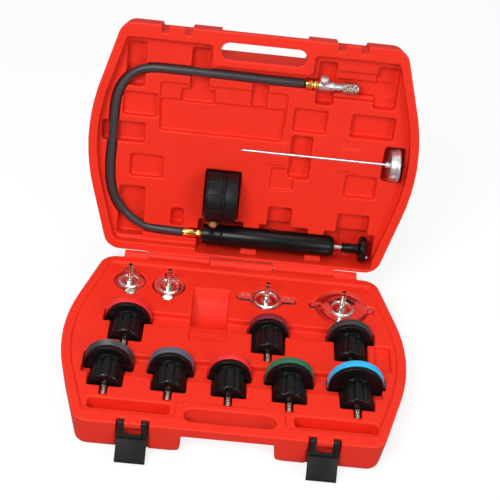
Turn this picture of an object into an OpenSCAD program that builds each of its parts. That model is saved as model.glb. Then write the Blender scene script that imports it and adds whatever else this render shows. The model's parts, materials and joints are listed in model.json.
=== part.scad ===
// Cooling system pressure test kit in a blow-moulded case.
// Millimetres, +Z up. The origin is the centre of the base's footprint on the floor,
// +X runs to the right along the hinge and -Y points at the latches.
// Places on either case half are given as (u, v, w): u along the hinge, v away from the
// hinge, w out of the tray, with w = 0 at the rim. The same (u, v) meet when the lid closes.

/* [Case] */
// Width of the case over its bulged sides
case_w = 436; // [420:1:460]
// Width of the case at the hinge corners, inside the bulges
case_waist = 382; // [374:1:392]
// Depth of the case from the hinge axis to the latch side
case_d = 322; // [318:1:334]
// Height of the base half
base_h = 48; // [46:1:60]
// Height of the lid half
lid_h = 48; // [48:1:60]
// Wall left between the deepest pockets and the outside
case_wall = 3; // [2:0.5:4]
// Draft of the outside walls over their full height
case_draft = 4; // [1:0.5:6]
// Radius along the outer bottom edges
edge_r = 12; // [6:1:16]
// Width of the flat rim round each tray
rim_w = 12; // [10:0.5:13]
// Step from the rim down to the base tray
base_tray = 3; // [2:0.5:4]
// Step from the rim down to the lid tray
lid_tray = 14; // [13:0.5:16]
// Angle between the lid and the base as shown
lid_open = 102; // [95:1:110]

/* [Hinge and latches] */
// Radius of the moulded hinge knuckles
knuckle_r = 5.5; // [4.5:0.5:6]
// Diameter of the steel hinge pin
pin_d = 4; // [3:0.5:5]
// Width of each latch plate
latch_w = 36; // [30:1:37]
// Length of each latch from its pivot
latch_l = 47; // [42:1:48]
// Distance of each latch from the middle
latch_u = 112.5; // [108:0.5:118]
// Width of the red tongue that each latch straddles
tongue_w = 20; // [16:1:22]
// Height of the tongue under the rim of each half
tongue_h = 8; // [7:0.5:9]
// Angle that an open latch has swung from its closed place
latch_swing = 140; // [120:1:142]

/* [Handle] */
// Length of the hand hole
grip_l = 110; // [100:1:116]
// Width of the hand hole
grip_w = 22; // [20:1:24]
// Width of the bar in front of the hand hole
bar_w = 14; // [12:1:16]
// Depth of the half bar on each case half
bar_h = 15; // [12:1:18]

/* [Adapters] */
// Diameter of the fluted knob of every adapter
knob_d = 40; // [36:0.5:41]
// Length of the fluted knob
knob_l = 36; // [32:1:38]
// Length of the flange with the coloured ring
flange_l = 17; // [14:0.5:18]
// Length of the hose nipple
nipple_l = 15; // [12:0.5:16]
// Diameter of the hose nipples
nipple_d = 7; // [6:0.5:8]
// Bore of the hose nipples
nipple_bore = 3.5; // [2.5:0.5:4.5]
// Depth of the adapters' axis under the rim
adapter_axis = 9; // [9:0.5:11]
// How far each adapter lifts out of its bed
adapter_lift = 34; // [20:1:36]

/* [Radiator caps] */
// Thickness of the cap plates
cap_t = 1.6; // [1.2:0.2:2.4]
// Depth of the turned-down rim of a cap
cap_skirt = 6; // [4:0.5:8]
// Height of the nipples over the cap plates
cap_nipple_h = 27; // [22:1:27]
// How far each cap lifts out of its bed
cap_lift = 20; // [14:1:26]

/* [Pump] */
// Outside diameter of the pump barrel
barrel_d = 29.5; // [26:0.5:30]
// Wall of the pump barrel
barrel_wall = 2.2; // [1.6:0.2:3]
// Length of the pump barrel
barrel_l = 148; // [130:1:150]
// Diameter of the piston rod
rod_d = 6; // [5:0.5:8]
// Diameter of the handle disc
handle_d = 36; // [30:1:36]
// Depth of the pump axis under the lid's rim
pump_axis = 17; // [17:0.5:18]
// Diameter of the gauge over its rubber boot
gauge_d = 70; // [64:1:70]
// Depth of the gauge's middle under the lid's rim
gauge_axis = 7; // [6.5:0.5:8]
// How far the pump lifts out of the lid
pump_lift = 30; // [20:1:34]

/* [Hose] */
// Outside diameter of the hose
hose_d = 12; // [10:0.5:12.5]
// Diameter of the brass ferrules
ferrule_d = 13.5; // [12:0.5:14.5]

/* [Thermometer] */
// Diameter of the thermometer head
thermo_d = 45; // [40:1:46]
// Thickness of the thermometer head
thermo_t = 13; // [10:0.5:14]
// Diameter of the thermometer stem
stem_d = 3.5; // [3:0.25:4]
// Length of the thermometer stem
stem_l = 195; // [180:1:198]
// How far the thermometer lifts out of its clips
thermo_lift = 40; // [30:1:44]

/* [Hidden] */
$fn = 48;
fit = 0.05;            // radial clearance of pins and shafts in their bores
rim_gap = 0.3;         // air between the two rims when the case is shut
bed_gap = 1.5;         // air round every piece in its bed
seat_gap = 0.3;        // air under a piece where it rests
shut_gap = 1.5;        // air between a piece in one half and the other half when shut
knuckle_gap = 0.4;     // air between neighbouring knuckles
eps = 0.01;

half_w = case_w / 2;
half_waist = case_waist / 2;
rear_v = knuckle_r + 0.7;              // rear walls stand clear of the turning knuckles
hinge_y = (case_d - case_draft + rear_v) / 2;
rim_z = base_h;
rim_face = -rim_gap / 2;

// The outline of either half at its rim, from the shoulders to the latch corners
waist_v0 = 28;                         // the rear corner ends here
waist_v1 = 93;                         // the straight waist ends and the bulge begins
bulge_v = 162.5;                       // middle of the bulge
front_r = 20;                          // radius of the latch side corners
rear_r = 23;                           // radius of the hinge side corners
shoulder_u = half_w - 9.3;             // half width where the bulges begin and end
front_u = half_waist - 4.5;            // half width at the latch corners
bulge_half = bulge_v - waist_v1;
bulge_sag = half_w - shoulder_u;
bulge_r = (bulge_half * bulge_half + bulge_sag * bulge_sag) / (2 * bulge_sag);
bulge_a = asin(bulge_half / bulge_r);

grip_v1 = case_d - bar_w;              // front edge of the hand hole
grip_v0 = grip_v1 - grip_w;            // rear edge of the hand hole
grip_floor = 10;                       // the tray keeps this far from the hand hole

latch_v = case_d - 6;                  // pivot of the latches
latch_axis = 4.5;                      // depth of that pivot under the rim
latch_pin_d = 3;
latch_back = case_d - 10.5;            // rear wall of the latch recesses
tongue_front = case_d - 1;
latch_out = 3;                         // how far a closed latch stands out of the case

// Adapters: [name, u, row, flange diameter, ring colour, threaded]
adapters = [
    ["a", -140, 1, 61, "crimson", false],
    ["b", 42, 1, 53, "maroon", false],
    ["c", 148, 1, 60, "dimgray", false],
    ["d", -154, 0, 61, "dimgray", true],
    ["e", -77, 0, 57, "slategray", false],
    ["f", -4, 0, 54, "firebrick", false],
    ["g", 70, 0, 61, "darkgreen", false],
    ["h", 153, 0, 71, "deepskyblue", false]
];
row_v = [202, 117];                    // rear face of the flanges in the front and rear rows
row_bed = [[199, 236], [114, 138]];    // the long trench of each row
ring_l = 0.62;                         // the coloured ring's share of the flange
flutes = 8;
collar_l = 2.5;                        // hexagon collar of the nipples
collar_d = nipple_d + 4;

// Caps: [name, u, v, plate diameter, span over the ears, turn of the ears, ring radius]
caps = [
    ["1", -146.5, 53, 40, 58, 82, 12.4],
    ["2", -94, 56, 42, 60, 90, 13.8],
    ["3", 37, 64, 42, 78, 0, 16],
    ["4", 138, 67, 68, 86, 0, 14.2]
];
ear_w = 13;
cap_top = base_tray + 1;               // depth of the cap plates under the rim

pump_v = 34;
pump_u0 = -30;                         // where the barrel leaves the head
head_l = 27;
head_d = 28;
spigot = 6;                            // how far the head and the end cap reach into the barrel
end_cap_l = 6;
rod_show = 11;                         // stretch of rod between the end cap and the handle
rod_socket = 12;                       // how deep the rod sits in the handle
grip_stem_l = 24;
handle_t = 10;
handle_u = pump_u0 + barrel_l + end_cap_l + rod_show;
push_in = 10;                          // what is left of the stroke inwards
pull_room = 9;                         // room to pull the handle while the pump lies in the lid
piston_z = spigot + push_in + 3;       // rear face of the piston, from the barrel's left end
trough_v0 = 11;
trough_v1 = 58;
trough_u1 = handle_u + grip_stem_l + handle_t + pull_room;
gauge_v = 94.6;
gauge_u0 = -57;
gauge_t = 42;
boot_t = 26;
gauge_lean = atan((pump_axis - gauge_axis) / (gauge_v - pump_v));
gauge_reach = norm([gauge_v - pump_v, pump_axis - gauge_axis]);
gauge_stem_u = gauge_u0 + boot_t / 2;

// The hose's route in the lid: [u, v, w]
hose_route = [
    [-74, 34, -17], [-92, 34, -17], [-112, 34, -18], [-132, 35, -20], [-142, 37.5, -21],
    [-151, 42, -21], [-160, 48.5, -21], [-168, 56.5, -20.5], [-175, 66, -19.5],
    [-180.5, 77, -18], [-184.5, 89, -16.5], [-187, 101, -15.5], [-188, 114, -15],
    [-188.5, 127, -15], [-188, 142, -15], [-187.5, 158, -15], [-187, 174, -15],
    [-187, 190, -15], [-186.5, 205, -15], [-185, 218, -15.5], [-182, 229, -16.5],
    [-177, 239, -17.5], [-170, 247.5, -18], [-162, 254, -18], [-153, 258.5, -17.5],
    [-143, 261, -16.5], [-132, 262, -15.5], [-116, 262, -15], [-96, 262, -15],
    [-72, 262, -15], [-46, 262, -15], [-20, 261.5, -15], [6, 261, -15], [32, 261, -15],
    [58, 261, -15]
];
hose_runs = [[0, 10], [10, 19], [19, 26], [26, 34]];
hose_sides = 10;
coupler_v = 261;
coupler_axis = 15;
coupler_room = 10.5;                   // half width of the coupler's pocket
ferrule_l = 17;
coupler_u = 75;                        // the valve block starts here
block_l = 14;
boss_h = 10;                           // top of the valve boss, from the coupler's axis
valve_d = 4;
valve_travel = 2;
valve_lean = 50;                       // lean of the release valve from the lid's normal
coupler_d = 10;
coupler_bore = 4;
coupler_l = 38;
socket_l = 16;                         // depth of the socket that takes a nipple
sleeve_l = 19;

thermo_v = 162;
thermo_axis = 13.5;
thermo_u = 182;                        // rear face of the head
stem_u0 = thermo_u - 5 - stem_l + 3;

function arc(c, r, a0, a1, n) =
    [for (i = [0:n]) c + r * [cos(a0 + (a1 - a0) * i / n), sin(a0 + (a1 - a0) * i / n)]];
function mirrored(points) = [for (i = [len(points) - 1:-1:0]) [-points[i][0], points[i][1]]];

rear_c = [half_waist - rear_r, rear_v + rear_r];
front_c = [front_u - front_r, case_d - front_r];
right_side = concat(
    arc(rear_c, rear_r, -90, -12, 6),
    arc([half_w - bulge_r, bulge_v], bulge_r, -bulge_a, bulge_a, 8),
    arc(front_c, front_r, 16, 90, 5)
);

// Places a child given in (u, v, w) on the base, and on the lid as it stands open
module on_base() translate([0, hinge_y, rim_z]) mirror([0, 1, 0]) children();
module on_lid() translate([0, hinge_y, rim_z]) rotate([180 - lid_open, 0, 0]) children();
module to_base(u, v, w) translate([u, hinge_y - v, rim_z + w]) children();

module case_outline() polygon(concat(right_side, mirrored(right_side)));

module stadium(l, w) {
    square([l - w, w], center = true);
    for (s = [-1, 1]) translate([s * (l - w) / 2, 0]) circle(d = w, $fn = 24);
}

// Pocket with rounded corners and a little draft, open at w = 0
module pocket(u0, u1, v0, v1, depth, r = 4, draft = 1.2)
    translate([(u0 + u1) / 2, (v0 + v1) / 2, 1])
        mirror([0, 0, 1])
            linear_extrude(depth + 1, slices = 1,
                           scale = [1 - 2 * draft / (u1 - u0), 1 - 2 * draft / (v1 - v0)])
                offset(r, $fn = 16) square([u1 - u0 - 2 * r, v1 - v0 - 2 * r], center = true);

// The moulding's outside: straight walls with draft, then a round bottom edge
module case_shell(h) {
    hull() {
        translate([0, 0, rim_face - eps]) linear_extrude(eps) case_outline();
        for (a = [0:22.5:90])
            translate([0, 0, -h + edge_r * (1 - sin(a))])
                linear_extrude(eps) offset(delta = -case_draft - edge_r * (1 - cos(a))) case_outline();
    }
}

// The step inside the rim, drawn in round the hand hole
module tray_outline() {
    offset(r = -6, $fn = 24) offset(r = 12, $fn = 24) offset(r = -6, $fn = 24)
        difference() {
            offset(delta = -rim_w) case_outline();
            translate([0, (grip_v0 - grip_floor + case_d) / 2])
                square([grip_l + 2 * grip_floor, case_d - grip_v0 + grip_floor], center = true);
            translate([0, case_d]) square([2 * case_w, 2 * (rim_w + 7)], center = true);
        }
}

// Everything that both halves have in front: hand hole, bar, latch recesses and tongues
module case_front_cuts(h) {
    translate([0, (grip_v0 + grip_v1) / 2, -h]) linear_extrude(2 * h) stadium(grip_l, grip_w);
    // the hand space under the bar
    translate([-grip_l / 2 - 1, grip_v0, -h - 1]) cube([grip_l + 2, case_d, h - bar_h + 1]);
    for (s = [-1, 1]) translate([s * latch_u, latch_back, 0]) difference() {
        translate([-latch_w / 2 - bed_gap, 0, -h - 1]) cube([latch_w + 2 * bed_gap, 20, h + 2]);
        translate([-tongue_w / 2, -1, -tongue_h])
            cube([tongue_w, tongue_front - latch_back + 1, tongue_h + 2]);
    }
}

knuckles = [-160, -128, -43, 43, 128, 160];
module knuckle(i) {
    l = knuckles[i + 1] - knuckles[i] - knuckle_gap;
    translate([knuckles[i] + knuckle_gap / 2, 0, 0]) {
        rotate([0, 90, 0]) cylinder(r = knuckle_r, h = l);
        translate([0, 0, -knuckle_r]) cube([l, rear_v + 3, knuckle_r + rim_face]);
    }
}

// One half as moulded, with its own knuckles bored for the hinge pin
module case_half(h, own_knuckles) difference() {
    union() {
        case_shell(h);
        for (i = own_knuckles) knuckle(i);
    }
    rotate([0, 90, 0]) translate([0, 0, -case_w / 2]) cylinder(d = pin_d + 2 * fit, h = case_w);
}

function adapter_r(a) = a[3] / 2;

// Round bed of radius r about an axis along v, open above
module round_bed(r, v0, l) {
    translate([0, v0, 0]) rotate([-90, 0, 0]) cylinder(r = r, h = l);
    translate([-r, v0, 0]) cube([2 * r, l, adapter_axis + 1]);
}

module adapter_bed(a) translate([a[1], 0, -adapter_axis]) {
    knob_v = row_v[a[2]] + flange_l;
    nipple_r = nipple_d / 2 + bed_gap;
    // the bed is wider than the knob, and the knob rests on its bottom
    translate([0, 0, bed_gap - seat_gap])
        round_bed(knob_d / 2 + bed_gap, knob_v - eps, knob_l + collar_l + 1);
    translate([-nipple_r, knob_v + knob_l, -nipple_r])
        cube([2 * nipple_r, nipple_l + 3, adapter_axis + 2 * nipple_r]);
    round_bed(adapter_r(a) + 0.8, row_v[a[2]] - bed_gap, flange_l + 2 * bed_gap);
}

module cap_outline(c, grow = 0) {
    offset(r = -5, $fn = 24) offset(r = 5 + grow, $fn = 24) {
        circle(d = c[3], $fn = 48);
        rotate(c[5]) square([c[4] - ear_w, ear_w], center = true);
        rotate(c[5]) for (s = [-1, 1]) translate([s * (c[4] - ear_w) / 2, 0]) circle(d = ear_w, $fn = 20);
    }
}

module case_base() color("red") on_base() difference() {
    case_half(base_h, [0, 2, 4]);
    case_front_cuts(base_h);
    translate([0, 0, -base_tray]) linear_extrude(base_tray + 1) tray_outline();
    for (a = adapters) adapter_bed(a);
    for (row = [0, 1]) translate([0, 0, -base_tray - 9]) {
        members = [for (a = adapters) if (a[2] == row) a];
        us = [for (a = members) a[1]];
        rs = [for (a = members) adapter_r(a)];
        translate([min(us) - rs[0] - 1, row_bed[row][0], 0])
            cube([max(us) - min(us) + 2 * rs[0] + 2, row_bed[row][1] - row_bed[row][0], 20]);
    }
    for (c = caps) translate([c[1], c[2], -cap_top - cap_t - cap_skirt - seat_gap])
        linear_extrude(20) cap_outline(c, 1);
    // room for the gauge when the lid is shut
    translate([gauge_u0 - 3, gauge_v, gauge_axis]) rotate([0, 90, 0])
        cylinder(r = gauge_d / 2 + shut_gap, h = gauge_t + 6);
    translate([gauge_u0 - 3, 56, -7]) cube([gauge_t + 6, 102, 8]);
    // room for the thermometer head
    pocket(thermo_u - 4, thermo_u + thermo_t + 4, thermo_v - 24, thermo_v + 24,
           thermo_d / 2 - thermo_axis + shut_gap, 4, 0.5);
    // finger troughs in front of the adapters
    pocket(-170, -72, 279, 297, 24);
    pocket(76, 176, 279, 297, 24);
    // pivot bores of the latches, through the tongues
    for (s = [-1, 1]) translate([s * latch_u - tongue_w / 2 - 1, latch_v, -latch_axis])
        rotate([0, 90, 0]) cylinder(d = latch_pin_d + 2 * fit, h = tongue_w + 2);
}

// Pocket in the lid over the part of a flange that stands higher than the lid tray
module flange_pocket(a) {
    r = adapter_r(a);
    half = sqrt(r * r - pow(lid_tray - 1 + adapter_axis, 2)) + 2;
    v = row_v[a[2]] + flange_l / 2;
    pocket(a[1] - half, a[1] + half, v - flange_l, v + flange_l, r - adapter_axis + shut_gap);
}

// Blocks that carry the barrel at two places, cut to its radius and open above
module barrel_cradles()
    for (u = [-3, 86]) translate([u, trough_v0 - 1, -lid_h + case_wall])
        cube([22, trough_v1 - trough_v0 + 4, lid_h - case_wall - lid_tray]);

// The hose's path on the tray between two points of its route
module hose_path(width, from, to) {
    points = [for (p = hose_route) [p[0], p[1]]];
    side = [for (i = [0:len(points) - 1])
        let (d = points[min(i + 1, len(points) - 1)] - points[max(i - 1, 0)]) [-d[1], d[0]] / norm(d)];
    polygon(concat([for (i = [from:to]) points[i] + side[i] * width / 2],
                   [for (i = [to:-1:from]) points[i] - side[i] * width / 2]));
}

// Channel in the lid, each run as deep as the hose lies there
module hose_channel() for (run = hose_runs) {
    low = min([for (i = [run[0]:run[1]]) hose_route[i][2]]);
    translate([0, 0, low - hose_d / 2 - seat_gap])
        linear_extrude(lid_tray + 10) hose_path(hose_d + 1.4, run[0], run[1]);
}

module case_lid() color("red") on_lid() {
    difference() {
        case_half(lid_h, [1, 3]);
        case_front_cuts(lid_h);
        translate([0, 0, -lid_tray]) linear_extrude(lid_tray + 1) tray_outline();
        // pump trough, with its cradles left standing
        difference() {
            pocket(gauge_u0 - 8, trough_u1, trough_v0, trough_v1, 37);
            barrel_cradles();
        }
        translate([pump_u0 - head_l, pump_v, -pump_axis]) rotate([0, 90, 0])
            cylinder(d = barrel_d + 2 * seat_gap, h = barrel_l + head_l);
        translate([pump_u0 - head_l, pump_v - barrel_d / 2 - bed_gap, -pump_axis])
            cube([barrel_l + head_l, barrel_d + 2 * bed_gap, pump_axis]);
        // the handle's end is deeper
        pocket(handle_u - 6, trough_u1, trough_v0, trough_v1, lid_h - case_wall - 3);
        // gauge bed
        translate([gauge_u0 - 3, gauge_v, -gauge_axis]) rotate([0, 90, 0])
            cylinder(d = gauge_d + 2 * bed_gap, h = gauge_t + 6);
        pocket(gauge_stem_u - 10, gauge_stem_u + 10, trough_v1 - 6, 68, 30);
        hose_channel();
        // the ferrule and the coupler lie deeper
        translate([pump_u0 - head_l - 20, pump_v - ferrule_d / 2 - 1, -28]) cube([22, ferrule_d + 2, 20]);
        pocket(56, 76, coupler_v - 9, coupler_v + 9, 24);
        pocket(90, 174, coupler_v - coupler_room, coupler_v + coupler_room, 30);
        pocket(92, 154, 245, 284, 22);
        // room for the cap nipples
        pocket(-175, -138, 22, 96, 30);
        pocket(-103, -84, 42, 70, 30);
        pocket(28, 62, 52, 86, 30);
        pocket(123, 168, 54, 86, 30);
        for (a = adapters) flange_pocket(a);
        // window panel and its lower field
        pocket(-130, 39, 196, 245, 19);
        pocket(-128, 37, 177, 222, 22);
        // finger pockets
        pocket(-175, -149, 234, 295, 28);
        pocket(-92, -66, 230, 295, 28);
        pocket(-103, -56, 217, 238, 28);
        pocket(-11, 12, 220, 256, 28);
        pocket(72, 97, 234, 294, 30);
        pocket(148, 179, 236, 294, 28);
        pocket(-203, -144, 156, 186, 26);
        pocket(48, 78, 127, 190, 28);
        // thermometer head and stem
        pocket(thermo_u - 9, thermo_u + thermo_t + 7, thermo_v - 25, thermo_v + 25, 39);
        translate([stem_u0 - 3, thermo_v, -thermo_axis]) rotate([0, 90, 0])
            cylinder(d = stem_d + 0.6, h = stem_l + 6);
    }
    // stem clips stand a little over the tray
    for (u = [20, 117]) difference() {
        translate([u, thermo_v - 16, -lid_tray - 1]) cube([24, 32, 2.2]);
        translate([u - 1, thermo_v - stem_d / 2 - 0.3, -thermo_axis]) cube([26, stem_d + 0.6, 9]);
        translate([u - 1, thermo_v, -thermo_axis]) rotate([0, 90, 0])
            cylinder(d = stem_d + 0.6, h = 26);
    }
}

module hinge_pin() color("silver") translate([-159, hinge_y, rim_z]) rotate([0, 90, 0])
    cylinder(d = pin_d, h = 318);

// A latch in its closed place: pivot at the origin, plate along +Z, outside towards +Y.
// Its hook reaches over the tongue of the lid.
latch_t = 3.6;
latch_hook = tongue_h + latch_axis + 0.4;
hook_t = 3.4;
leg_gap = 0.4;
leg_r = 4;
module latch_closed() {
    leg = latch_w / 2 - 1 - tongue_w / 2 - leg_gap;
    outer = latch_out + case_d - latch_v;
    inner = outer - latch_t;
    rotate([0, 90, 0]) cylinder(d = latch_pin_d, h = tongue_w + 2 * leg_gap + leg, center = true);
    for (s = [-1, 1]) translate([s * (tongue_w / 2 + leg_gap + leg / 2) - leg / 2, 0, 0]) {
        rotate([0, 90, 0]) cylinder(r = leg_r, h = leg);
        rotate([90, 0, 90]) linear_extrude(leg)
            polygon([[-leg_r, 0], [leg_r, 0], [outer, 8], [outer, latch_hook + hook_t], [0, latch_hook + hook_t]]);
    }
    rotate([90, 0, 90]) linear_extrude(latch_w, center = true)
        polygon([[0, latch_hook], [outer, latch_hook], [outer, latch_l - 6], [outer + 1.6, latch_l - 1.5],
                 [outer + 1.6, latch_l], [inner + 0.8, latch_l], [inner, latch_l - 4],
                 [inner, latch_hook + hook_t + 2.6], [1.2, latch_hook + hook_t], [0, latch_hook + hook_t]]);
}
module latch(side) color("#202022")
    to_base(side * latch_u, latch_v, -latch_axis)
        rotate([latch_swing, 0, 0]) mirror([0, 1, 0]) latch_closed();

// Adapters stand on +Z here, from the flange's rear face to the nipple's tip
module lay_adapter(a) to_base(a[1], row_v[a[2]], -adapter_axis) rotate([90, 0, 0]) children();

module adapter_knob(a) color("#1c1c1e") lay_adapter(a) {
    r = adapter_r(a);
    difference() {
        union() {
            translate([0, 0, flange_l * ring_l]) cylinder(r = r - 0.8, h = flange_l * (1 - ring_l));
            translate([0, 0, 2]) cylinder(r = r - 6, h = flange_l * ring_l);
            translate([0, 0, flange_l]) cylinder(d = knob_d - 1, h = knob_l - 2);
            translate([0, 0, flange_l + knob_l - 2]) cylinder(d1 = knob_d - 1, d2 = knob_d - 5, h = 2);
        }
        for (i = [0:flutes - 1]) rotate((i + 0.5) * 360 / flutes)
            translate([knob_d / 2 + 1.2, 0, flange_l + 2]) cylinder(d = 7, h = knob_l);
        translate([0, 0, -1]) cylinder(d = nipple_d + 2 * fit, h = flange_l + knob_l + 2);
    }
}

module adapter_ring(a) color(a[4]) lay_adapter(a) {
    r = adapter_r(a);
    l = flange_l * ring_l;
    pitch = l / 5;
    rotate_extrude() polygon(a[5]
        ? concat([[r - 6, 0]],
                 [for (i = [0:4]) each [[r - 1.2, i * pitch], [r, (i + 0.3) * pitch], [r, (i + 0.6) * pitch]]],
                 [[r - 1.2, l], [r - 6, l]])
        : [[r - 6, 0], [r - 1, 0], [r, 1], [r, l], [r - 6, l]]);
}

// Barbed hose nipple with a hexagon collar, bored through
module nipple(from, collar, to) {
    difference() {
        union() {
            translate([0, 0, from]) cylinder(d = nipple_d, h = to - from);
            translate([0, 0, collar]) cylinder(d = collar_d, h = collar_l, $fn = 6);
            for (z = [collar + 6:3.2:to - 3]) translate([0, 0, z])
                cylinder(d1 = nipple_d + 0.9, d2 = nipple_d, h = 2.2);
        }
        translate([0, 0, from - 1]) cylinder(d = nipple_bore, h = to - from + 2);
    }
}
module adapter_nipple(a) color("gainsboro") lay_adapter(a)
    nipple(1, flange_l + knob_l, flange_l + knob_l + nipple_l);

module cap_plate(c) color("silver") to_base(c[1], c[2], -cap_top - cap_t) mirror([0, 1, 0]) difference() {
    union() {
        linear_extrude(cap_t) cap_outline(c);
        translate([0, 0, -cap_skirt]) difference() {
            cylinder(d = c[3] - 2, h = cap_skirt + cap_t / 2);
            translate([0, 0, -1]) cylinder(d = c[3] - 5, h = cap_skirt + 1);
        }
        rotate_extrude() translate([c[6], cap_t - 0.6]) circle(r = 1.7, $fn = 24);
        translate([0, 0, -cap_skirt + 1]) cylinder(d = c[3] - 16, h = cap_skirt);
    }
    translate([0, 0, -cap_skirt - 1]) cylinder(d = nipple_d + 2 * fit, h = cap_skirt + cap_t + 2);
}
module cap_nipple(c) color("gainsboro") to_base(c[1], c[2], -cap_top)
    nipple(-cap_t - cap_skirt + 1, 0, cap_nipple_h);

// The pump lies along +X; its parts are given from the barrel's left end
module lay_pump() on_lid() translate([pump_u0, pump_v, -pump_axis]) rotate([0, 90, 0]) children();

module pump_barrel() color("#141416") lay_pump() difference() {
    cylinder(d = barrel_d, h = barrel_l);
    translate([0, 0, -1]) cylinder(d = barrel_d - 2 * barrel_wall, h = barrel_l + 2);
}
module pump_head() color("#1b1b1d") lay_pump() difference() {
    union() {
        translate([0, 0, -head_l]) cylinder(d = head_d, h = head_l);
        translate([0, 0, -eps]) cylinder(d = barrel_d - 2 * barrel_wall, h = spigot);
        translate([0, 0, -head_l + 8]) cylinder(d = barrel_d, h = 3);
        translate([0, 0, -6]) cylinder(d = barrel_d, h = 6);
    }
    translate([0, 0, -head_l - 1]) cylinder(d = 6, h = head_l + spigot + 2);
    // gauge port, square to the barrel and leaning with the gauge
    translate([0, 0, gauge_stem_u - pump_u0]) rotate([-90, 0, gauge_lean]) cylinder(d = 9 + 2 * fit, h = 40);
}
module pump_end_cap() color("#1b1b1d") lay_pump() difference() {
    union() {
        translate([0, 0, barrel_l]) cylinder(d1 = barrel_d, d2 = barrel_d - 6, h = end_cap_l);
        translate([0, 0, barrel_l - spigot]) cylinder(d = barrel_d - 2 * barrel_wall, h = spigot + eps);
    }
    translate([0, 0, barrel_l - spigot - 1]) cylinder(d = rod_d + 2 * fit, h = spigot + end_cap_l + 2);
}
module piston_rod() color("silver") lay_pump()
    translate([0, 0, piston_z + 2]) cylinder(d = rod_d, h = handle_u + rod_socket - pump_u0 - piston_z - 2);
module piston() color("#303032") lay_pump() translate([0, 0, piston_z]) difference() {
    bore_d = barrel_d - 2 * barrel_wall;
    union() {
        for (z = [0, 6]) translate([0, 0, z]) cylinder(d = bore_d - 2 * fit, h = 3);
        cylinder(d = bore_d - 3, h = 9);
    }
    translate([0, 0, 2]) cylinder(d = rod_d, h = 10);
}
module pump_handle() color("#141416") lay_pump() translate([0, 0, handle_u - pump_u0]) difference() {
    rotate_extrude() polygon([
        [0, 0], [6, 0], [6.5, 1], [6.5, grip_stem_l - 4], [9, grip_stem_l],
        [handle_d / 2 - 1.5, grip_stem_l], [handle_d / 2, grip_stem_l + 2],
        [handle_d / 2, grip_stem_l + handle_t - 3], [handle_d / 2 - 2.5, grip_stem_l + handle_t - 0.5],
        [handle_d / 2 - 8, grip_stem_l + handle_t], [0, grip_stem_l + handle_t]
    ]);
    translate([0, 0, -1]) cylinder(d = rod_d, h = rod_socket + 1);
}

// The gauge stands on the head, +Z up its stem and +X out of its dial
module lay_gauge() on_lid() translate([0, pump_v, -pump_axis]) rotate([-90 + gauge_lean, 0, 0]) children();
gauge_r = gauge_d / 2;
boot_wall = 2.5;
module gauge_stem() color("goldenrod") lay_gauge() translate([gauge_stem_u, 0, 0]) {
    translate([0, 0, 8]) cylinder(d = 9, h = gauge_reach - gauge_r - 8 + 5);
    translate([0, 0, head_d / 2 + 1.5]) cylinder(d = 15, h = 5, $fn = 6);
}
module gauge_drum(r, from, l) translate([from, 0, gauge_reach]) rotate([0, 90, 0]) cylinder(r = r, h = l);
module gauge_boot() color("#1c1c1e") lay_gauge() difference() {
    union() {
        gauge_drum(gauge_r - 1.2, gauge_u0, boot_t);
        for (i = [0:11]) translate([gauge_u0 + 2, 0, gauge_reach]) rotate([30 * i + 15, 0, 0])
            translate([0, -7, 0]) cube([boot_t - 6, 14, gauge_r - 0.9]);
    }
    gauge_drum(gauge_r - boot_wall - 1.2, gauge_u0 + 2, boot_t);
    translate([gauge_stem_u, 0, 0]) cylinder(d = 9 + 2 * fit, h = gauge_reach);
}
module gauge_case() color("#26262a") lay_gauge() difference() {
    union() {
        gauge_drum(gauge_r - boot_wall - 1.3, gauge_u0 + 2.1, gauge_t - 2.1);
        gauge_drum(gauge_r - 0.6, gauge_u0 + boot_t + 0.2, gauge_t - boot_t - 0.2);
    }
    gauge_drum(gauge_r - 5, gauge_u0 + 5, gauge_t);
    gauge_drum(gauge_r - 3, gauge_u0 + gauge_t - 4, 10);
    translate([gauge_stem_u, 0, 0]) cylinder(d = 9, h = gauge_reach - gauge_r + 8);
}
module gauge_dial() color("white") lay_gauge() difference() {
    gauge_drum(gauge_r - 5 - fit, gauge_u0 + gauge_t - 9, 1);
    gauge_drum(1.5, gauge_u0 + gauge_t - 12, 8);
}
module gauge_pointer() color("black") lay_gauge() translate([gauge_u0 + gauge_t - 10, 0, gauge_reach])
    rotate([0, 90, 0]) {
        cylinder(r = 1.5 - fit, h = 4);
        translate([0, 0, 2.4]) cylinder(r = 3.5, h = 1);
        translate([0, 0, 2.4]) rotate(225 - 90) linear_extrude(0.8)
            polygon([[-1.3, -9], [1.3, -9], [0.4, gauge_r - 9], [-0.4, gauge_r - 9]]);
    }
module gauge_lens() color("lightcyan") lay_gauge()
    gauge_drum(gauge_r - 3 - fit, gauge_u0 + gauge_t - 3.4, 2);

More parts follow.
